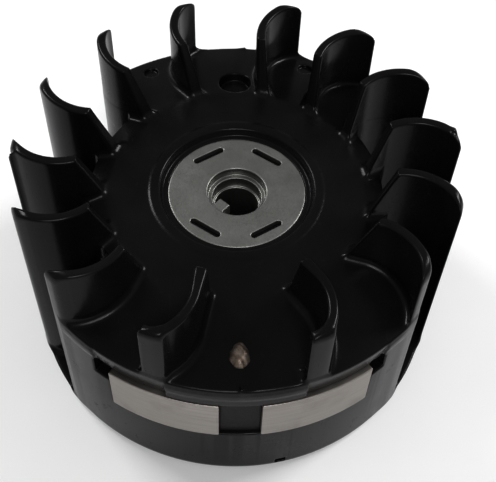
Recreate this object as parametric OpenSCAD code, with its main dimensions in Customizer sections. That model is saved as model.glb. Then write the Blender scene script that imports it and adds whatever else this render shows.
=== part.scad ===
// Fan flywheel of a small two-stroke engine: a black moulded body whose disc carries fourteen
// curved fan blades, a keyed metal hub insert, and a magnet with two steel pole shoes in the rim.
// The body stands on its open side. The origin is on the axis, in the plane it stands on, +Z up,
// and the magnet faces -Y. All lengths are millimetres and all angles degrees.

/* [Part to show] */
// Which sub-part is drawn

/* [Body] */
// Outside diameter of the rim
rim_d = 100; // [98:0.5:102]
// Height of the disc's edge above the plane the body stands on
rim_h = 39.5; // [38:0.5:42]
// Thickness of the disc
disc_t = 3; // [2.5:0.1:3.5]
// Thickness of the skirt under the disc's edge
skirt_t = 3.5; // [3:0.1:4]
// Outside radius of the drum that the side blades grow from
drum_r = 33.5; // [33:0.1:34]
// Thickness of the drum
drum_t = 2.5; // [2:0.1:3]
// Outside radius of the ring that closes the side channels at the bottom
ring_r = 48.6; // [47:0.1:49]
// Thickness of that ring
ring_t = 2; // [1.5:0.1:2.5]
// Height of the raised middle of the disc above its edge
crown_h = 4.2; // [3.8:0.1:5]

/* [Fan blades] */
// Height of the blades above the disc's edge
blade_h = 17.5; // [16:0.5:20]
// Thickness of a blade
blade_t = 2.2; // [2:0.1:2.5]
// Radius that a blade bends to
curve_r = 13.4; // [13:0.1:14.4]
// Radius of the blades' outer top corners
corner_r = 3; // [2:0.1:4]
// Width of the posts at the ends of the two blades beside the magnet
post_w = 4.4; // [4:0.1:6]

/* [Hub] */
// Diameter of the insert's flange
flange_d = 31.6; // [31:0.1:32]
// Thickness of the insert's flange
flange_t = 4; // [3.5:0.1:4.5]
// Height of the flange's face above the disc's edge
flange_rise = 2.8; // [2.5:0.1:3]
// Diameter of the crankshaft bore
bore_d = 10; // [9:0.1:10]
// Length of the crankshaft bore
bore_len = 19.3; // [17:0.1:20]
// Width of the key that holds the flywheel in time with the crankshaft
key_w = 3; // [2.5:0.1:3.5]

/* [Magnet] */
// Height of the pole shoes
shoe_h = 13.7; // [12:0.1:14]
// Distance from the disc's edge down to the pole shoes
shoe_drop = 6.3; // [6:0.1:7]
// Radial thickness of the pole shoes
shoe_t = 8; // [6:0.1:8]
// How far the magnet's face lies inside the rim
magnet_setback = 1.2; // [0.8:0.1:1.6]

/* [Hidden] */
$fn = 96;

rim_r = rim_d / 2;
disc_z = rim_h - disc_t;                 // underside of the disc
top_z = rim_h + blade_h;                 // top of the blades
cut = 1;                                 // how far a cutter runs past a face
far = 3 * rim_r;                         // longer than anything it cuts

// Blade plan: an arc through tip_r. Its ends are bearings from the arc's own centre.
tip_r = 0.98 * rim_r;
curve_x = 0.774 * rim_r;
curve_y = -sqrt(pow(curve_r, 2) - pow(tip_r - curve_x, 2));
curve_ends = [10, 150];
root_r = 0.6 * rim_r;                    // flat middle of the disc, where the blades begin
root_top_r = 0.695 * rim_r;              // blade's inner edge at the top

// Blade bearings, anticlockwise from +X, starting at the left end of the back sector.
az = [132, 106.3, 75.4, 52, 29.8, 7.5, -14.7, -38, -69, -108.7, -137.3, -158.5, 179.5, 156.5];
back_from = az[4];
back_to = az[0];
front_from = az[10];
front_to = az[7];

// Front rim: two recesses show the tops of the pole shoes.
shoe_top = rim_h - shoe_drop;
shoe_bottom = shoe_top - shoe_h;
recess_r = 49;                           // the rim over the recesses
recess_left = [-125, -106.2];
recess_right = [-71.4, -50];
shoe_left = [-121.6, -92.9];
shoe_right = [-82.4, -53];
housing_r = 36.8;
housing_reach = 4;                       // how far the housing runs past the shoes, in degrees
housing_floor = 3;                       // material under the shoes
rim_chamfer = 2;
post_t = 3;                              // how far the posts reach in from the recess

// Hub
flange_z = rim_h + flange_rise;          // face of the flange
flange_r = flange_d / 2;
recess_rim_r = 17.6;
boss_r = 19;
barrel_r = 11;
mouth_r = 6.7;
mouth_depth = 2.2;
step_r = 5.6;
step_depth = 5;
bore_top = flange_z - step_depth;
insert_z = bore_top - bore_len;          // bottom of the insert
slot_r = 12.5;
slot_len = 7.8;
slot_w = 1.4;
slot_az = [57, 123, 237, 303];
key_az = -131;
key_r = 3.9;                             // how near the axis the key comes
key_drop = 0.2;                          // from the flange's face down to the key's top

// Marks on the disc
pin_r = 1.5;
pin_head_r = 2.5;
pin_head_h = 1.2;
pin_at = 41.6;
pin_az = -88;
pin_len = 2.5;                           // below the disc, down to just above the magnet
pin_z = face_z(pin_at - pin_head_r);     // underside of the pin's head
dimple_r = 3.9;
dimple_at = 34;
dimple_az = 92;
ejector_r = 1.7;
ejector_at = 44.8;
ejector_az = [120, 68.4];
mark_depth = 0.8;

// Height of the disc's upper face, which falls from the flat middle to the edge.
function face_z(r) = rim_h + crown_h * (rim_r - r) / (rim_r - root_r);

// Wedge from angle a to angle b, less than half a turn.
module wedge(a, b) {
    m = (a + b) / 2;
    polygon([[0, 0], far * [cos(a), sin(a)], far * [cos(m), sin(m)], far * [cos(b), sin(b)]]);
}

module ring2d(r_out, r_in) {
    difference() {
        circle(r_out);
        circle(r_in);
    }
}

// Plan of a blade whose tip lies at bearing a.
module blade_plan(a) {
    rotate(a) translate([curve_x, curve_y]) intersection() {
        ring2d(curve_r + blade_t / 2, curve_r - blade_t / 2);
        wedge(curve_ends[0], curve_ends[1]);
    }
}

// Circle that a blade's concave side (side = -1) or convex side (side = 1) lies on.
module blade_side(a, side) {
    rotate(a) translate([curve_x, curve_y]) circle(curve_r + side * blade_t / 2);
}

// Plan of the part of a ring between the blades at bearings a and b, up to their faces.
module sector(a, b, r_out, r_in) {
    difference() {
        intersection() {
            ring2d(r_out, r_in);
            union() {
                wedge(a, b);
                blade_side(b, -1);
            }
        }
        blade_side(a, 1);
    }
}

// Profile that trims a blade. A blade on the disc stands on its sloping face, and any other
// goes down to foot outside the drum.
module blade_profile(foot, r_out, on_disc) {
    inner = [[root_top_r, top_z], [root_r, rim_h + crown_h]];
    lower = on_disc ? [[r_out, face_z(r_out)]] : [[drum_r, face_z(drum_r)], [drum_r, foot], [r_out, foot]];
    polygon(concat(inner, lower, [[r_out, top_z - corner_r], [r_out - corner_r, top_z]]));
    intersection() {
        translate([r_out - corner_r, top_z - corner_r]) circle(corner_r);
        translate([r_out - corner_r, top_z - corner_r]) square(corner_r);
    }
}

// Blade at bearing a that goes down to foot.
module tall_blade(a, foot) {
    color("#1b1b1d") intersection() {
        translate([0, 0, foot]) linear_extrude(top_z - foot + cut) blade_plan(a);
        rotate_extrude() blade_profile(foot, rim_r, false);
    }
}

// Blade at bearing a that stands on the disc: r_out is the radius of its outer edge, and end_w
// the width of the post that it ends in, or zero.
module disc_blade(a, r_out, end_w) {
    color("#1b1b1d") intersection() {
        translate([0, 0, rim_h - cut]) linear_extrude(blade_h + 2 * cut) {
            blade_plan(a);
            if (end_w > 0)
                rotate(a) translate([r_out - post_t, -end_w / 2]) square([2 * post_t, end_w]);
        }
        rotate_extrude() blade_profile(rim_h, r_out, true);
    }
}

module arc_block(span, r_out, r_in, z, h) {
    translate([0, 0, z]) linear_extrude(h) intersection() {
        ring2d(r_out, r_in);
        wedge(span[0], span[1]);
    }
}

// Round pocket in the back of the disc, just outside its flat middle.
module dimple() {
    rotate(dimple_az) translate([dimple_at, 0, rim_h]) cylinder(r = dimple_r, h = crown_h + cut);
}

module centre_disc() {
    color("#1c1c1e") difference() {
        rotate_extrude() polygon([
            [flange_r, disc_z], [drum_r, disc_z], [drum_r, face_z(drum_r)], [root_r, rim_h + crown_h],
            [recess_rim_r, rim_h + crown_h], [flange_r, flange_z]]);
        dimple();
    }
}

// Part of the disc between the blades at bearings a and b, under its sloping upper face.
module disc_sector(a, b) {
    intersection() {
        translate([0, 0, disc_z]) linear_extrude(disc_t + crown_h) sector(a, b, rim_r, drum_r);
        rotate_extrude() polygon([
            [drum_r - cut, disc_z - cut], [rim_r + cut, disc_z - cut], [rim_r + cut, rim_h],
            [rim_r, rim_h], [drum_r - cut, face_z(drum_r - cut)]]);
    }
}

module front_disc() {
    color("#1c1c1e") difference() {
        disc_sector(front_from, front_to);
        for (span = [recess_left, recess_right])
            arc_block(span, rim_r + cut, recess_r, disc_z - cut, disc_t + 2 * cut);
        rotate(pin_az) translate([pin_at, 0, disc_z - cut])
            cylinder(r = pin_r, h = disc_t + crown_h + cut);
    }
}

module back_disc() {
    color("#1c1c1e") difference() {
        disc_sector(back_from, back_to);
        dimple();
        for (a = ejector_az)
            rotate(a) translate([ejector_at, 0, face_z(ejector_at) - mark_depth])
                cylinder(r = ejector_r, h = 2 * mark_depth);
    }
}

module hub_boss() {
    color("#1c1c1e") rotate_extrude() polygon([
        [barrel_r, insert_z], [boss_r, insert_z], [boss_r, disc_z], [flange_r, disc_z],
        [flange_r, flange_z - flange_t], [barrel_r, flange_z - flange_t]]);
}

module drum() {
    color("#1c1c1e") linear_extrude(disc_z) ring2d(drum_r, drum_r - drum_t);
}

module skirt(a, b) {
    difference() {
        linear_extrude(disc_z) sector(a, b, rim_r, rim_r - skirt_t);
        rotate_extrude() polygon([[rim_r - rim_chamfer, -cut], [rim_r + cut, -cut],
                                  [rim_r + cut, rim_chamfer + cut], [rim_r - rim_chamfer - cut, -cut]]);
    }
}

module front_skirt() {
    color("#1c1c1e") difference() {
        skirt(front_from, front_to);
        for (span = [recess_left, recess_right])
            arc_block(span, rim_r + cut, recess_r, shoe_top, shoe_drop);
        arc_block([shoe_left[0], shoe_right[1]], rim_r + cut, housing_r, shoe_bottom, shoe_h);
    }
}

module back_skirt() {
    color("#1c1c1e") skirt(back_from, back_to);
}

// Each ring runs under the side blades and stops at the blades that end the skirts.
module floor_ring_left() {
    color("#1c1c1e") linear_extrude(ring_t)
        sector(back_to, 360 + front_from, ring_r, drum_r);
}

module floor_ring_right() {
    color("#1c1c1e") linear_extrude(ring_t) sector(front_to, back_from, ring_r, drum_r);
}

module magnet_housing() {
    r_out = rim_r - skirt_t;
    span = [shoe_left[0] - housing_reach, shoe_right[1] + housing_reach];
    z = shoe_bottom - housing_floor;
    color("#1c1c1e") difference() {
        arc_block(span, r_out, housing_r, z, disc_z - z);
        arc_block([shoe_left[0], shoe_right[1]], r_out + cut, rim_r - shoe_t, shoe_bottom, shoe_h);
        rotate(pin_az) translate([pin_at, 0, disc_z - pin_len])
            cylinder(r = pin_r, h = pin_len + cut);
    }
}

module hub_insert() {
    color("#7d7d7b") {
        difference() {
            union() {
                translate([0, 0, flange_z - flange_t]) cylinder(r = flange_r, h = flange_t);
                translate([0, 0, insert_z]) cylinder(r = barrel_r, h = flange_z - insert_z);
            }
            translate([0, 0, insert_z - cut]) cylinder(d = bore_d, h = bore_len + 2 * cut);
            translate([0, 0, bore_top]) cylinder(r = step_r, h = step_depth + cut);
            translate([0, 0, flange_z - mouth_depth]) cylinder(r = mouth_r, h = mouth_depth + cut);
            for (a = slot_az) slot(a);
        }
        hub_key();
    }
}

// Slot across the flange, with round ends, that locks the insert in the moulding.
module slot(a) {
    end = (slot_len - slot_w) / 2;
    rotate(a) translate([slot_r, 0, flange_z - flange_t - cut]) {
        translate([-slot_w / 2, -end, 0]) cube([slot_w, 2 * end, flange_t + 2 * cut]);
        for (side = [-1, 1])
            translate([0, side * end, 0]) cylinder(d = slot_w, h = flange_t + 2 * cut);
    }
}

// Key above the bore, where the crankshaft's thread is cut away for it.
module hub_key() {
    intersection() {
        rotate(key_az) translate([key_r, -key_w / 2, bore_top])
                cube([mouth_r, key_w, step_depth - key_drop]);
        translate([0, 0, bore_top]) cylinder(r = mouth_r + cut / 2, h = step_depth);
    }
}

module pole_shoe_left() {
    color("#9b938c") arc_block(shoe_left, rim_r, rim_r - shoe_t, shoe_bottom, shoe_h);
}

module pole_shoe_right() {
    color("#9b938c") arc_block(shoe_right, rim_r, rim_r - shoe_t, shoe_bottom, shoe_h);
}

module ignition_magnet() {
    color("#333436") arc_block([shoe_left[1], shoe_right[0]], rim_r - magnet_setback,
                               rim_r - shoe_t, shoe_bottom, shoe_h);
}

module retaining_pin() {
    color("#a06c50") rotate(pin_az) translate([pin_at, 0, 0]) {
        translate([0, 0, disc_z - pin_len]) cylinder(r = pin_r, h = pin_z - disc_z + pin_len);
        translate([0, 0, pin_z]) cylinder(r1 = pin_head_r, r2 = pin_head_r - 0.8, h = pin_head_h);
    }
}

// Blades 01 and 05, and 08 and 11, end the skirts. The others beside them stand on the disc
// or, at the sides, on the floor ring.
module fan_blade_01() { tall_blade(az[0], 0); }
module fan_blade_02() { disc_blade(az[1], rim_r, 0); }
module fan_blade_03() { disc_blade(az[2], rim_r, 0); }
module fan_blade_04() { disc_blade(az[3], rim_r, 0); }
module fan_blade_05() { tall_blade(az[4], 0); }
module fan_blade_06() { tall_blade(az[5], ring_t); }
module fan_blade_07() { tall_blade(az[6], ring_t); }
module fan_blade_08() { tall_blade(az[7], 0); }
module fan_blade_09() { disc_blade(az[8], recess_r, post_w); }
module fan_blade_10() { disc_blade(az[9], recess_r, post_w); }
module fan_blade_11() { tall_blade(az[10], 0); }
module fan_blade_12() { tall_blade(az[11], ring_t); }
module fan_blade_13() { tall_blade(az[12], ring_t); }
module fan_blade_14() { tall_blade(az[13], ring_t); }

centre_disc();
front_disc();
back_disc();
hub_boss();
drum();
front_skirt();
back_skirt();
floor_ring_left();
floor_ring_right();
magnet_housing();
hub_insert();
pole_shoe_left();
pole_shoe_right();
ignition_magnet();
retaining_pin();
fan_blade_01();
fan_blade_02();
fan_blade_03();
fan_blade_04();
fan_blade_05();
fan_blade_06();
fan_blade_07();
fan_blade_08();
fan_blade_09();
fan_blade_10();
fan_blade_11();
fan_blade_12();
fan_blade_13();
fan_blade_14();
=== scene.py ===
"""Fan flywheel of a small engine: one black moulding, its metal hub insert, pole shoes, magnet and pin.

The moulding and the metal pieces are shaped as signed distances on a grid and then meshed, so every
edge and every joint between walls has the small radius that a mould gives it. Distances are in
millimetres until the mesh is made, and bearings are in degrees, anticlockwise from +X.
"""
import math

import bpy
import numpy as np
import openvdb
from mathutils import Matrix, Vector


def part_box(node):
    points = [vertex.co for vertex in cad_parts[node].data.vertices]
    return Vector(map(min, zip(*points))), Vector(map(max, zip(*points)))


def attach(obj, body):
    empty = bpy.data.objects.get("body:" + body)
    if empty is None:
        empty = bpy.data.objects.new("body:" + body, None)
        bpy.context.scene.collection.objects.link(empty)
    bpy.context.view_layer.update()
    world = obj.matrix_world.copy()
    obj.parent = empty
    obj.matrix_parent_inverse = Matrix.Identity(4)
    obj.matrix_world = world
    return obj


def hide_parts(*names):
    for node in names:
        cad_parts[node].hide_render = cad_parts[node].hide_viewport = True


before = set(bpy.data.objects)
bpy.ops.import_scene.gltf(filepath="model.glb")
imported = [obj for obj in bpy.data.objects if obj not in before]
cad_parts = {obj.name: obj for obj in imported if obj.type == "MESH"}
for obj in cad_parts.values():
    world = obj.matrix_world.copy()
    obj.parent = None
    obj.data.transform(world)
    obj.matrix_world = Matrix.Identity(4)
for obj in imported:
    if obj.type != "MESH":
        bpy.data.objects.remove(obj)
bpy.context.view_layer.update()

MM = 0.001

# ---------------------------------------------------------------- sizes, from the frame
def low(node):
    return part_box(node)[0] / MM


def high(node):
    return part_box(node)[1] / MM


RIM_R = high("back_skirt").y                    # outside of the rim
DISC_T = 3.0
DISC_Z = low("back_disc").z + DISC_T            # top of the disc's edge
TOP_Z = high("fan_blade_01").z                  # top of the blades
DRUM_R = high("drum").x
RING_T = high("floor_ring_left").z
CROWN_Z = high("centre_disc").z                 # raised middle of the disc
HUB_Z = high("hub_insert").z                    # face of the insert
HUB_LOW = low("hub_insert").z
FLANGE_R = high("hub_insert").x
BOSS_R = high("hub_boss").x
SHOE_LOW = low("pole_shoe_left").z
SHOE_TOP = high("pole_shoe_left").z

DRUM_T = 2.5
RING_R = 49.6                                   # outside of the rings under the side blades
HOLE_R = 46.5                                   # inside of the skirt
RIM_ROUND = 2.8                                 # rounding of the rim's bottom edge
RIM_EDGE = 0.9                                  # and of every other edge on the rim's outside
LAP = 1.5                                       # how far walls reach into one another
WALL_FILLET = 1.2
BOSS_FILLET = 1.5
BOSS_DOWN = 0.5                                 # how far the boss ends below the raised middle
CUT_EDGE = 0.3                                  # rounding of what is cut into the moulding
CROWN_R = 17.6                                  # radius of the hub recess's rim
CROWN_EDGE = 29.5                               # where the raised middle of the disc starts to fall
CROWN_BEND = 2.5                                # how gently it does
RECESS_FOOT_R = 17.1                            # the same recess at the level of the insert's face

# Blades: an arc through the tip and a straight root, in the blade's own axes with the tip on +X.
BLADE_AZ = [132, 106.3, 75.4, 52, 29.8, 7.5, -14.7, -38, -69, -108.7, -137.3, -158.5, 179.5, 156.5]
BLADE_T = 2.2
CURVE_R = 12.4
TIP_R = 49.0
CURVE_X = 39.2
CURVE_Y = -math.sqrt(CURVE_R**2 - (TIP_R - CURVE_X) ** 2)
ROOT_TURN = 115                                 # bearing on the arc where the straight root starts
ROOT_LEN = 7.0
ROOT_R = 28.5                                   # inner edge at the height of the disc
ROOT_TOP_R = 34.8                               # inner edge at the top
ROOT_T = 3.2                                    # thickness at the inner edge
CORNER_R = 3.2
LIP_R = 0.6                                     # rounding of the blades' edges
FILLET = 1.6                                    # between a blade and what it stands on
BLADE_AT, BLADE_LEAD, BLADE_REACH = 40, 4, 15   # centre and half width of the box that a blade is in

BACK = (BLADE_AZ[4], BLADE_AZ[0])               # the back sector's first and last blade
FRONT = (BLADE_AZ[10], BLADE_AZ[7])
LEFT_GAP = (BLADE_AZ[0], 360 + BLADE_AZ[10])
RIGHT_GAP = (BLADE_AZ[7], BLADE_AZ[4])
STANDING = (1, 2, 3, 8, 9)                      # blades that stand on the disc

RECESS_R = 48.8                                 # rim over the shoes, where it meets them
LIP_OUT = 49.7                                  # the same at the disc's upper face
RECESSES = ((-126.0, -106.2), (-71.4, -49.0))
POCKETS = ((-126.4, -121.6), (-53.0, -48.6))    # the recesses' deeper ends, beyond the shoes
POCKET_R, POCKET_LOW, POCKET_TOP = 46.9, 29.5, 34.5
SHOES = ((-121.6, -92.9), (-82.4, -53.0))
SHOE_T = 8.0
MAGNET_BACK = 1.2                               # how far the magnet lies inside the rim
HOUSING_R = 36.8                                # inside of the housing around the shoes
HOUSING_ENDS, HOUSING_UNDER = 4, 3              # degrees past the shoes, and mm below them
HOUSING_FILLET = 1.0

POST_W, POST_T, POST_R = 4.4, 2.2, 49.4         # a post's width, thickness and outside
POST_SIDE = 0.2                                 # how far it lies clockwise of its blade's tip
POST_DOWN = 0.3                                 # how far it ends below its blade
POST_CORNER_R = 1.6
POST_FILLET = 1.4
POST_TURN = {8: 108, 9: 100}                    # their blades' straight root starts earlier
POST_ROOT_LEN, POST_ROOT_TOP = 9.0, 31.6        # and reaches further in at the top

PIN_AT, PIN_AZ, PIN_Z = 41.6, -88.0, 41.3

FLANGE_T = 4.0
BARREL_R = 11.0                                 # the insert below its flange
MOUTH_R, MOUTH_DEEP = 6.7, 2.2
STEP_R, STEP_DEEP = 5.6, 5.0
BORE_R = 5.0
KEY_AZ, KEY_R, KEY_W = -131, 3.9, 3.0
SLOT_AZ = (57, 123, 237, 303)
SLOT_AT, SLOT_REACH, SLOT_END_R = 12.5, 3.2, 0.7
SLOT_LOW = HUB_Z - 5
SLOT_DEEP = 1.2                                 # from the flange's face to what fills the slots

DIMPLE_AT, DIMPLE_AZ, DIMPLE_R = 34, 92, 3.9
EJECTOR_AT, EJECTOR_AZ = 44.8, (120, 68.4)
EJECTOR_R, EJECTOR_DEEP = 1.7, 0.8
NICK = (-77.7, -74.9)
NICK_LOW, NICK_TOP, NICK_DEEP = 1.6, 3.8, 1.8

# Pitches of the grids, and how many triangles the moulding is thinned to.
PITCH = 0.35
FINE_PITCH = 0.2
PIN_PITCH = 0.15
TRIANGLES = 195000


# ---------------------------------------------------------------- signed distances
class Grid:
    """Points over a box, in mm. x, y, r and az vary over the plan and z over the height."""

    def __init__(self, lowest, highest, pitch):
        self.low = np.array(lowest, np.float32)
        self.pitch = pitch
        count = np.ceil((np.array(highest) - self.low) / pitch).astype(int) + 1
        line = [self.low[i] + pitch * np.arange(count[i], dtype=np.float32) for i in range(3)]
        self.x = line[0][:, None, None]
        self.y = line[1][None, :, None]
        self.z = line[2][None, None, :]
        self.r = np.hypot(self.x, self.y)
        self.shape = tuple(count)

    def window(self, lowest, highest):
        """The slices of the grid that hold a box, and a grid over them."""
        a = np.maximum(np.floor((np.array(lowest) - self.low) / self.pitch).astype(int), 0)
        b = np.minimum(np.ceil((np.array(highest) - self.low) / self.pitch).astype(int) + 1, self.shape)
        part = Grid.__new__(Grid)
        part.low = self.low + a * self.pitch
        part.pitch = self.pitch
        part.x = self.x[a[0]:b[0]]
        part.y = self.y[:, a[1]:b[1]]
        part.z = self.z[:, :, a[2]:b[2]]
        part.r = self.r[a[0]:b[0], a[1]:b[1]]
        part.shape = tuple(b - a)
        return tuple(slice(i, j) for i, j in zip(a, b)), part


def join(a, b, radius):
    """Union with a round fillet where the two meet."""
    u = np.maximum(radius - a, 0)
    v = np.maximum(radius - b, 0)
    return np.maximum(radius, np.minimum(a, b)) - np.sqrt(u * u + v * v)


def meet(a, b, radius):
    """Intersection with a round edge."""
    u = np.maximum(radius + a, 0)
    v = np.maximum(radius + b, 0)
    return np.minimum(-radius, np.maximum(a, b)) + np.sqrt(u * u + v * v)


def cut(a, b, radius):
    """a without b, with a round edge."""
    return meet(a, -b, radius)


def band(value, lowest, highest):
    """Distance to the slab between two levels of value."""
    return np.maximum(lowest - value, value - highest)


def ray(g, az):
    """Distance clockwise of the plane through the axis at a bearing."""
    a = math.radians(az)
    return g.x * math.sin(a) - g.y * math.cos(a)


def wedge(g, first, last):
    """Distance to the wedge between two bearings less than half a turn apart."""
    return np.maximum(ray(g, first), -ray(g, last))


def local(g, az):
    """Plan coordinates with +X turned to a bearing."""
    a = math.radians(az)
    c, s = math.cos(a), math.sin(a)
    return g.x * c + g.y * s, g.y * c - g.x * s


def disc_at(g, at, az, radius):
    """Distance to an upright cylinder whose axis is at a radius and bearing."""
    u, v = local(g, az)
    return np.hypot(u - at, v) - radius


# ---------------------------------------------------------------- the moulding
def blade_circle(g, az):
    """Distance to the upright cylinder that a blade's middle surface lies on."""
    u, v = local(g, az)
    return np.hypot(u - CURVE_X, v - CURVE_Y) - CURVE_R


def blade_plan(g, az, root_turn, root_len):
    """Distance to a blade's plan: a thick arc with a straight root."""
    u, v = local(g, az)
    u = u - CURVE_X
    v = v - CURVE_Y
    turn = math.radians(root_turn)
    c, s = math.cos(turn), math.sin(turn)
    along = -u * s + v * c                      # along the root, from where it leaves the arc
    across = u * c + v * s - CURVE_R
    on_arc = np.abs(np.hypot(u, v) - CURVE_R)
    past = np.maximum(along - root_len, 0)
    on_root = np.hypot(np.abs(across), past)
    half = BLADE_T / 2 + (ROOT_T - BLADE_T) / 2 * np.clip(along / root_len, 0, 1)
    return np.where(along > 0, on_root, on_arc) - half


def blade_side(g, foot, outer, root_top, corner):
    """Distance to the profile that trims a blade, as seen from the side."""
    lean = (root_top - ROOT_R) / (TOP_Z - DISC_Z)
    inner = (ROOT_R + lean * (g.z - DISC_Z) - g.r) / math.hypot(1, lean)
    inner = np.where(g.z < DISC_Z, DRUM_R - 1 - g.r, inner)
    end = meet(g.r - outer, g.z - TOP_Z, corner)
    return np.maximum(np.maximum(inner, end), foot - g.z)


def blade(g, az, foot):
    side = blade_side(g, foot, RIM_R, ROOT_TOP_R, CORNER_R)
    return meet(blade_plan(g, az, ROOT_TURN, ROOT_LEN), side, LIP_R)


def posted_blade(g, az, foot, root_turn):
    """A blade beside the magnet: its outer edge widens to a post in the rim's own plane."""
    side = blade_side(g, foot, POST_R, POST_ROOT_TOP, POST_CORNER_R)
    shape = meet(blade_plan(g, az, root_turn, POST_ROOT_LEN), side, LIP_R)
    u, v = local(g, az)
    post = np.maximum(np.abs(v + POST_SIDE) - POST_W / 2, band(g.r, POST_R - POST_T, POST_R))
    top = meet(g.r - POST_R, g.z - TOP_Z + POST_DOWN, POST_CORNER_R)
    post = meet(post, np.maximum(top, foot - g.z), LIP_R)
    return join(shape, post, POST_FILLET)


def sector(g, first, last, r_in, r_out):
    """Distance to the plan of a ring between two blades, up to their middle surfaces."""
    span = np.minimum(wedge(g, first, last), blade_circle(g, last))
    span = np.maximum(span, -blade_circle(g, first))
    return np.maximum(span, band(g.r, r_in, r_out))


def soft(t):
    """t where it is positive and zero elsewhere, with a smooth bend between the two."""
    bend = (t + CROWN_BEND / 2) ** 2 / (2 * CROWN_BEND)
    return np.where(np.abs(t) < CROWN_BEND / 2, bend, np.maximum(t, 0))


def top_face(g):
    """Distance above the disc's upper face: flat in the middle, with a slope around it."""
    incline = (CROWN_Z - DISC_Z) / (RIM_R - CROWN_EDGE)
    return (g.z - CROWN_Z + incline * soft(g.r - CROWN_EDGE)) / math.hypot(1, incline)


def middle(g):
    """Plate, recess, boss and drum: everything inside the drum's radius."""
    plate = np.maximum(top_face(g), DISC_Z - DISC_T - g.z)
    plate = np.maximum(plate, g.r - DRUM_R)
    boss = np.maximum(g.r - BOSS_R, band(g.z, HUB_LOW, CROWN_Z - BOSS_DOWN))
    plate = join(plate, boss, BOSS_FILLET)
    wall = np.maximum(band(g.r, DRUM_R - DRUM_T, DRUM_R), band(g.z, 0, DISC_Z - 1))
    return join(plate, wall, WALL_FILLET)


def hub_hole(g):
    """The space that the insert fills, with the recess above its flange."""
    flare = (CROWN_R - RECESS_FOOT_R) / (CROWN_Z - HUB_Z)
    recess = (g.r - RECESS_FOOT_R - flare * (g.z - HUB_Z)) / math.hypot(1, flare)
    recess = np.maximum(recess, HUB_Z - 0.2 - g.z)
    flange = np.maximum(g.r - FLANGE_R, HUB_Z - FLANGE_T - g.z)
    barrel = g.r - BARREL_R
    return np.minimum(np.minimum(recess, flange), barrel)


def moulding_field(g):
    """Signed distance of the whole moulding."""
    f = middle(g)

    floors = []
    for first, last in (BACK, FRONT):
        disc = np.maximum(sector(g, first, last, DRUM_R - LAP, RIM_R), DISC_Z - DISC_T - g.z)
        disc = np.maximum(disc, top_face(g))
        skirt = np.maximum(sector(g, first, last, HOLE_R, RIM_R), band(g.z, 0, DISC_Z - LAP))
        floors.append(join(disc, skirt, WALL_FILLET))
    for first, last in (LEFT_GAP, RIGHT_GAP):
        floors.append(np.maximum(sector(g, first, last, DRUM_R - LAP, RING_R), band(g.z, 0, RING_T)))
    for section in floors:
        f = np.minimum(f, section)

    box, part = g.window((-40, -RIM_R, SHOE_LOW - HOUSING_UNDER - 1), (40, -20, DISC_Z))
    housing = wedge(part, SHOES[0][0] - HOUSING_ENDS, SHOES[1][1] + HOUSING_ENDS)
    housing = np.maximum(housing, band(part.r, HOUSING_R, HOLE_R + 1))
    housing = np.maximum(housing, band(part.z, SHOE_LOW - HOUSING_UNDER, DISC_Z - 1))
    f[box] = join(f[box], housing, HOUSING_FILLET)

    for i, az in enumerate(BLADE_AZ):
        foot = DISC_Z - LAP if i in STANDING else 0
        turn = math.radians(az + BLADE_LEAD)
        x, y = BLADE_AT * math.cos(turn), BLADE_AT * math.sin(turn)
        box, part = g.window((x - BLADE_REACH, y - BLADE_REACH, foot - 2),
                             (x + BLADE_REACH, y + BLADE_REACH, TOP_Z + 2))
        shape = posted_blade(part, az, foot, POST_TURN[i]) if i in POST_TURN else blade(part, az, foot)
        f[box] = join(f[box], shape, FILLET)

    outside = meet(g.r - RIM_R, -g.z, RIM_ROUND)
    f = meet(f, outside, RIM_EDGE)

    # Recesses over the shoes, and the pocket that the shoes and the magnet fill
    box, part = g.window((-45, -RIM_R - 1, SHOE_LOW - 2), (45, -15, DISC_Z + 2))
    lean = (LIP_OUT - RECESS_R) / (DISC_Z - SHOE_TOP)
    over = np.maximum(RECESS_R + lean * (part.z - SHOE_TOP) - part.r, SHOE_TOP - 1 - part.z)
    over = np.maximum(over, np.minimum(wedge(part, *RECESSES[0]), wedge(part, *RECESSES[1])))
    ends = np.minimum(wedge(part, *POCKETS[0]), wedge(part, *POCKETS[1]))
    ends = np.maximum(ends, np.maximum(POCKET_R - part.r, band(part.z, POCKET_LOW, POCKET_TOP)))
    over = np.minimum(over, ends)
    pocket = np.maximum(wedge(part, SHOES[0][0], SHOES[1][1]), RIM_R - SHOE_T - part.r)
    pocket = np.maximum(pocket, band(part.z, SHOE_LOW, SHOE_TOP))
    f[box] = cut(cut(f[box], over, CUT_EDGE), pocket, 0.25)

    box, part = g.window((-28, 28, DISC_Z - 3), (28, 50, CROWN_Z + 2))
    f[box] = cut(f[box], marks(part), CUT_EDGE)

    # A nick at the bottom of the front skirt
    nick = np.maximum(wedge(g, NICK[0], NICK[1]), RIM_R - NICK_DEEP - g.r)
    nick = np.maximum(nick, band(g.z, NICK_LOW, NICK_TOP))
    f = cut(f, nick, CUT_EDGE)
    f = cut(f, hub_hole(g), 0.4)

    # The moulding fills the insert's slots up to a little below its face
    for az in SLOT_AZ:
        filling = np.maximum(slot_plan(g, az), band(g.z, SLOT_LOW, HUB_Z - SLOT_DEEP))
        f = np.minimum(f, filling)
    return f


def slot_plan(g, az):
    """Distance to the plan of one of the insert's slots."""
    u, v = local(g, az)
    return np.hypot(u - SLOT_AT, np.maximum(np.abs(v) - SLOT_REACH, 0)) - SLOT_END_R


def marks(g):
    """A shallow round dimple and the marks of two ejector pins in the back of the disc."""
    hollow = np.maximum(disc_at(g, DIMPLE_AT, DIMPLE_AZ, DIMPLE_R), DISC_Z - g.z)
    for az in EJECTOR_AZ:
        mark = np.maximum(disc_at(g, EJECTOR_AT, az, EJECTOR_R), -EJECTOR_DEEP - top_face(g))
        hollow = np.minimum(hollow, mark)
    return hollow


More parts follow.
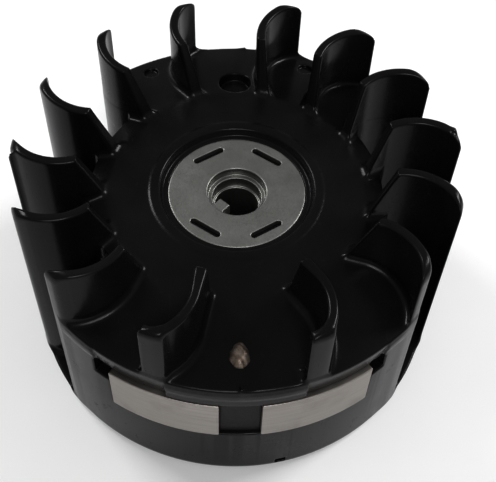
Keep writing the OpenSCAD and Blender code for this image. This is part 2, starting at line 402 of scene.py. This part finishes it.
# ---------------------------------------------------------------- from distances to a mesh
def sample(field, at):
    """Values of the field between its grid points, in between by straight lines."""
    top = np.array(field.shape) - 2
    cell = np.clip(np.floor(at).astype(np.int32), 0, top)
    t = (at - cell).astype(np.float32)
    i, j, k = cell.T
    a, b, c = t.T
    v = 0
    for di, wa in ((0, 1 - a), (1, a)):
        for dj, wb in ((0, 1 - b), (1, b)):
            for dk, wc in ((0, 1 - c), (1, c)):
                v = v + field[i + di, j + dj, k + dk] * wa * wb * wc
    return v


def slope(field, at):
    """Gradient of the field at points, per grid step."""
    reach = 0.7
    gradient = np.empty_like(at, dtype=np.float32)
    for axis in range(3):
        step = np.zeros(3, np.float32)
        step[axis] = reach
        gradient[:, axis] = (sample(field, at + step) - sample(field, at - step)) / (2 * reach)
    return gradient


def polygons(name, points, faces):
    """A new object from an array of points and an array of faces of one size."""
    mesh = bpy.data.meshes.new(name)
    mesh.vertices.add(len(points))
    mesh.vertices.foreach_set("co", np.ascontiguousarray(points, np.float32).ravel())
    mesh.loops.add(faces.size)
    mesh.loops.foreach_set("vertex_index", np.ascontiguousarray(faces, np.int32).ravel())
    mesh.polygons.add(len(faces))
    mesh.polygons.foreach_set("loop_start", np.arange(0, faces.size, faces.shape[1], dtype=np.int32))
    mesh.update(calc_edges=True)
    piece = bpy.data.objects.new(name, mesh)
    bpy.context.collection.objects.link(piece)
    return piece


def coordinates(mesh):
    at = np.empty(3 * len(mesh.vertices), np.float32)
    mesh.vertices.foreach_get("co", at)
    return at.reshape(-1, 3)


def settle(field, at, rounds=3):
    """Moves points onto the surface where the field is zero."""
    for _ in range(rounds):
        gradient = slope(field, at)
        step = sample(field, at) / np.maximum((gradient * gradient).sum(1), 1e-3)
        at = at - np.clip(step, -0.5, 0.5)[:, None] * gradient
    return at


def mesh_from(name, grid, field, triangles):
    """The surface where the field is zero, as an object in metres with about so many triangles.

    Its normals come from the field itself, so they don't depend on how the triangles lie."""
    volume = openvdb.FloatGrid(3.0)
    volume.copyFromArray(np.clip(field, -3, 3), tolerance=0)
    points, quads = volume.convertToQuads(isovalue=0.0)
    points = settle(field / grid.pitch, points.astype(np.float32))
    piece = polygons(name, points, quads)
    if 2 * len(quads) > triangles:
        thin = piece.modifiers.new("thin", "DECIMATE")
        thin.ratio = triangles / (2 * len(quads))
        thin.use_collapse_triangulate = True
        bpy.context.view_layer.objects.active = piece
        bpy.ops.object.modifier_apply(modifier=thin.name)
    mesh = piece.data
    at = settle(field / grid.pitch, coordinates(mesh), 2)
    normals = slope(field, at)
    normals /= np.linalg.norm(normals, axis=1, keepdims=True) + 1e-9
    mesh.vertices.foreach_set("co", ((grid.low + at * grid.pitch) * MM).astype(np.float32).ravel())
    mesh.update()
    mesh.shade_smooth()
    mesh.normals_split_custom_set_from_vertices([tuple(n) for n in normals.tolist()])
    return piece


# ---------------------------------------------------------------- the other pieces' shapes
def insert_field(g):
    """The hub insert: flange with four slots, barrel, stepped bore and key."""
    body = meet(np.maximum(g.r - FLANGE_R, HUB_LOW - g.z), g.z - HUB_Z, 0.35)
    below = np.maximum(g.z - (HUB_Z - FLANGE_T), BARREL_R - g.r)
    body = np.maximum(body, -below)
    bore = np.minimum(g.r - BORE_R, np.maximum(g.r - STEP_R, HUB_Z - STEP_DEEP - g.z))
    mouth = np.maximum(g.r - MOUTH_R, HUB_Z - MOUTH_DEEP - g.z)
    body = cut(body, np.minimum(bore, mouth), 0.3)
    u, v = local(g, KEY_AZ)
    key = np.maximum(np.maximum(np.abs(v) - KEY_W / 2, KEY_R - u), g.r - MOUTH_R - 0.3)
    key = np.maximum(key, HUB_Z - STEP_DEEP - g.z)
    body = join(body, meet(key, g.z - HUB_Z + 0.1, 0.3), 0.15)
    for az in SLOT_AZ:
        body = cut(body, np.maximum(slot_plan(g, az), SLOT_LOW - g.z), 0.15)
    return body


def arc_field(g, first, last, r_in, r_out, bottom, top, edge):
    side = meet(wedge(g, first, last), band(g.r, r_in, r_out), edge)
    return meet(side, band(g.z, bottom, top), edge)


def pin_field(g):
    """The pin's head: a lumpy dome."""
    u, v = local(g, PIN_AZ)
    u = u - PIN_AT
    lump = 0.14 * np.sin(1.9 * u + 0.7) * np.sin(2.3 * v + 1.9)
    lump = lump + 0.04 * np.sin(4.0 * u - 3.1 * v + 2 * g.z)
    wide = 1 + 0.07 * u
    reach = np.sqrt((u / 1.45) ** 2 + (v / wide) ** 2 + ((g.z - PIN_Z + 0.8) * 1.15) ** 2)
    dome = (reach - 2.2 + lump) * 0.7
    return np.maximum(dome, PIN_Z - 1.5 - g.z)


# ---------------------------------------------------------------- materials
class Graph:
    """A material's node tree, with short calls for the nodes that these materials use."""

    def __init__(self, name):
        self.material = bpy.data.materials.new(name)
        self.material.use_nodes = True
        self.tree = self.material.node_tree
        self.shader = self.tree.nodes["Principled BSDF"]
        self.at = self.node("ShaderNodeTexCoord").outputs["Object"]

    def node(self, kind, inputs=None, **settings):
        made = self.tree.nodes.new(kind)
        for key, value in settings.items():
            setattr(made, key, value)
        for key, value in (inputs or {}).items():
            self.feed(made.inputs[key], value)
        return made

    def feed(self, socket, value):
        if isinstance(value, bpy.types.NodeSocket):
            self.tree.links.new(value, socket)
        else:
            socket.default_value = value

    def noise(self, scale, detail=3.0, stretch=None, rough=0.55):
        """Noise from 0 to 1. scale is in features to the metre."""
        at = self.at
        if stretch:
            at = self.node("ShaderNodeMapping", {"Vector": at, "Scale": stretch}).outputs[0]
        made = self.node("ShaderNodeTexNoise",
                         {"Vector": at, "Scale": scale, "Detail": detail, "Roughness": rough})
        return made.outputs["Fac"]

    def ramp(self, value, low, high, start=0.0, end=1.0):
        """value from low to high, carried to start to end, and held there outside."""
        return self.node("ShaderNodeMapRange", {"Value": value, "From Min": low, "From Max": high,
                                                "To Min": start, "To Max": end}).outputs[0]

    def mix(self, by, first, second):
        made = self.node("ShaderNodeMix", data_type="RGBA")
        self.feed(made.inputs[0], by)
        self.feed(made.inputs[6], first)
        self.feed(made.inputs[7], second)
        return made.outputs[2]

    def math(self, how, a, b=0.0):
        return self.node("ShaderNodeMath", {0: a, 1: b}, operation=how).outputs[0]

    def bump(self, height, distance, strength=1.0, under=None):
        made = self.node("ShaderNodeBump", {"Height": height, "Distance": distance, "Strength": strength})
        if under:
            self.feed(made.inputs["Normal"], under)
        return made.outputs[0]

    def finish(self, **sockets):
        for name, value in sockets.items():
            self.feed(self.shader.inputs[name.replace("_", " ")], value)
        return self.material


def black_moulding():
    g = Graph("black_moulding")
    cloud = g.noise(60, 4)
    grain = g.noise(2600, 2)
    flow = g.noise(240, 3, stretch=(1, 1, 0.35))
    scuff = g.ramp(g.noise(420, 5, stretch=(1.0, 0.15, 0.6), rough=0.7), 0.60, 0.74)
    dust = g.ramp(g.noise(900, 4, rough=0.7), 0.62, 0.80)
    colour = g.mix(g.ramp(cloud, 0.35, 0.65), (0.0062, 0.0060, 0.0068, 1), (0.0092, 0.0089, 0.0094, 1))
    colour = g.mix(g.math("MULTIPLY", dust, 0.10), colour, (0.10, 0.095, 0.085, 1))
    rough = g.ramp(cloud, 0.3, 0.7, 0.20, 0.28)
    rough = g.math("ADD", rough, g.math("MULTIPLY", scuff, 0.14))
    normal = g.bump(flow, 0.00005, 0.5)
    normal = g.bump(grain, 0.000012, 0.6, under=normal)
    return g.finish(Base_Color=colour, Roughness=rough, Normal=normal, IOR=1.28)


def hub_metal():
    g = Graph("hub_metal")
    cloud = g.noise(150, 4)
    speck = g.noise(3200, 3)
    colour = g.mix(g.ramp(cloud, 0.3, 0.7), (0.23, 0.23, 0.22, 1), (0.30, 0.30, 0.29, 1))
    colour = g.mix(g.ramp(speck, 0.58, 0.75, 0, 0.5), colour, (0.09, 0.088, 0.08, 1))
    rough = g.ramp(speck, 0.3, 0.7, 0.38, 0.55)
    return g.finish(Base_Color=colour, Roughness=rough, Normal=g.bump(speck, 0.00003, 0.6), Metallic=1.0)


def ground_steel():
    g = Graph("ground_steel")
    lines = g.noise(220, 3, stretch=(0.4, 0.4, 14))
    cloud = g.noise(110, 4)
    speck = g.noise(2600, 3)
    colour = g.mix(g.ramp(lines, 0.3, 0.7), (0.29, 0.272, 0.255, 1), (0.39, 0.365, 0.345, 1))
    colour = g.mix(g.ramp(cloud, 0.5, 0.75, 0, 0.4), colour, (0.17, 0.15, 0.135, 1))
    rough = g.ramp(lines, 0.3, 0.7, 0.34, 0.48)
    normal = g.bump(lines, 0.00003, 0.6)
    normal = g.bump(speck, 0.00002, 0.4, under=normal)
    return g.finish(Base_Color=colour, Roughness=rough, Normal=normal, Metallic=1.0)


def magnet_face():
    g = Graph("magnet_face")
    cloud = g.noise(180, 4)
    speck = g.noise(3000, 3)
    colour = g.mix(g.ramp(cloud, 0.3, 0.7), (0.006, 0.006, 0.007, 1), (0.010, 0.010, 0.011, 1))
    rough = g.ramp(speck, 0.3, 0.7, 0.38, 0.55)
    return g.finish(Base_Color=colour, Roughness=rough, IOR=1.28, Normal=g.bump(speck, 0.00004, 0.6))


def dull_copper():
    g = Graph("dull_copper")
    cloud = g.noise(500, 4)
    speck = g.noise(2500, 4)
    colour = g.mix(g.ramp(cloud, 0.35, 0.65), (0.20, 0.155, 0.12, 1), (0.42, 0.36, 0.32, 1))
    colour = g.mix(g.ramp(speck, 0.55, 0.7, 0, 0.7), colour, (0.07, 0.05, 0.04, 1))
    rough = g.ramp(speck, 0.3, 0.7, 0.35, 0.6)
    return g.finish(Base_Color=colour, Roughness=rough, Normal=g.bump(speck, 0.00004, 0.6), Metallic=0.85)


def pale_floor():
    g = Graph("pale_floor")
    cloud = g.noise(25, 4)
    colour = g.mix(g.ramp(cloud, 0.3, 0.7), (0.86, 0.86, 0.86, 1), (0.88, 0.88, 0.88, 1))
    rough = g.ramp(cloud, 0.3, 0.7, 0.85, 0.95)
    return g.finish(Base_Color=colour, Roughness=rough, Specular_IOR_Level=0.1)


# ---------------------------------------------------------------- the pieces
def moulding():
    grid = Grid((-51, -51, -1), (51, 51, 58), PITCH)
    piece = mesh_from("moulding", grid, moulding_field(grid), TRIANGLES)
    piece.data.materials.append(black_moulding())
    made_of = [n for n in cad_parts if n.startswith("fan_blade_")]
    made_of += ["centre_disc", "front_disc", "back_disc", "hub_boss", "drum", "front_skirt", "back_skirt",
                "floor_ring_left", "floor_ring_right", "magnet_housing"]
    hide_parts(*made_of)
    return piece


def hub():
    grid = Grid((-16.5, -16.5, HUB_LOW - 0.6), (16.5, 16.5, HUB_Z + 0.6), FINE_PITCH)
    piece = mesh_from("keyed_hub_insert", grid, insert_field(grid), 120000)
    piece.data.materials.append(hub_metal())
    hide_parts("hub_insert")
    return piece


def arc_piece(name, node, slot, material, first, last, r_out, edge):
    lowest, highest = low(node), high(node)
    grid = Grid(lowest - Vector((0.6,) * 3), highest + Vector((0.6,) * 3), FINE_PITCH)
    field = arc_field(grid, first, last, RIM_R - SHOE_T, r_out, lowest.z, highest.z, edge)
    piece = mesh_from(name, grid, field, 40000)
    piece.data.materials.append(material)
    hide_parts(node)
    return piece


def pin():
    turn = math.radians(PIN_AZ)
    x, y = PIN_AT * math.cos(turn), PIN_AT * math.sin(turn)
    grid = Grid((x - 3.5, y - 3.5, PIN_Z - 2.2), (x + 3.5, y + 3.5, PIN_Z + 2.5), PIN_PITCH)
    piece = mesh_from("pin_head", grid, pin_field(grid), 12000)
    piece.data.materials.append(dull_copper())
    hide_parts("retaining_pin")
    return piece


# ---------------------------------------------------------------- camera, light and floor
LENS = 71.18
RISE = 52.085                                   # degrees above the floor
AWAY = 4.539 * RIM_R                            # from the middle of the disc's top
TURNS = (("Y", -0.731), ("X", -2.451), ("Z", 1.527))    # degrees off that middle


def camera():
    """Looks down at the disc from the magnet's side."""
    made = bpy.data.objects.new("camera", bpy.data.cameras.new("camera"))
    bpy.context.collection.objects.link(made)
    made.data.lens = LENS
    made.data.clip_start = 0.01
    rise = math.radians(RISE)
    away = AWAY * MM
    offset = Vector((0, -away * math.cos(rise), away * math.sin(rise)))
    turn = (-offset).to_track_quat("-Z", "Y").to_matrix().to_4x4()
    for axis, degrees in TURNS:
        turn = turn @ Matrix.Rotation(math.radians(degrees), 4, axis)
    made.matrix_world = Matrix.Translation(offset + Vector((0, 0, DISC_Z * MM))) @ turn
    bpy.context.scene.camera = made


def softbox(name, place, aim, size, power):
    """A rectangular light at a place, turned to what it aims at, in metres and watts."""
    data = bpy.data.lights.new(name, "AREA")
    data.shape = "RECTANGLE"
    data.size, data.size_y = size
    data.energy = power
    made = bpy.data.objects.new(name, data)
    bpy.context.collection.objects.link(made)
    place = Vector(place)
    made.matrix_world = (Matrix.Translation(place)
                         @ (Vector(aim) - place).to_track_quat("-Z", "Y").to_matrix().to_4x4())


def studio():
    world = bpy.data.worlds.new("studio")
    world.use_nodes = True
    world.node_tree.nodes["Background"].inputs["Color"].default_value = (1.0, 1.0, 1.0, 1)
    world.node_tree.nodes["Background"].inputs["Strength"].default_value = 0.36
    bpy.context.scene.world = world
    bpy.context.scene.view_settings.view_transform = "Standard"
    bpy.context.scene.view_settings.gamma = 0.75
    softbox("key", (0.0, -0.90, 1.0), (0, 0, 0.02), (0.6, 0.5), 6.5)
    softbox("glint", (0.12, -0.62, 1.0), (0, 0, 0.03), (0.14, 0.14), 1.6)
    softbox("left", (-0.80, 0.62, 0.90), (0, 0.05, 0.03), (0.4, 0.4), 8)
    softbox("right", (0.90, 0.42, 0.75), (0, 0.05, 0.03), (0.4, 0.4), 9)


def floor():
    size = 3.0
    corners = [(-size, -size, 0), (size, -size, 0), (size, size, 0), (-size, size, 0)]
    made = polygons("floor", np.array(corners), np.array([[0, 1, 2, 3]]))
    made.data.materials.append(pale_floor())


camera()
studio()
floor()
steel = ground_steel()
pieces = [
    moulding(),
    hub(),
    arc_piece("left_pole_shoe", "pole_shoe_left", "ground_steel", steel, *SHOES[0], RIM_R, 0.15),
    arc_piece("right_pole_shoe", "pole_shoe_right", "ground_steel", steel, *SHOES[1], RIM_R, 0.15),
    arc_piece("magnet", "ignition_magnet", "magnet", magnet_face(), SHOES[0][1], SHOES[1][0],
              RIM_R - MAGNET_BACK, 0.2),
    pin(),
]
for piece in pieces:
    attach(piece, "root")
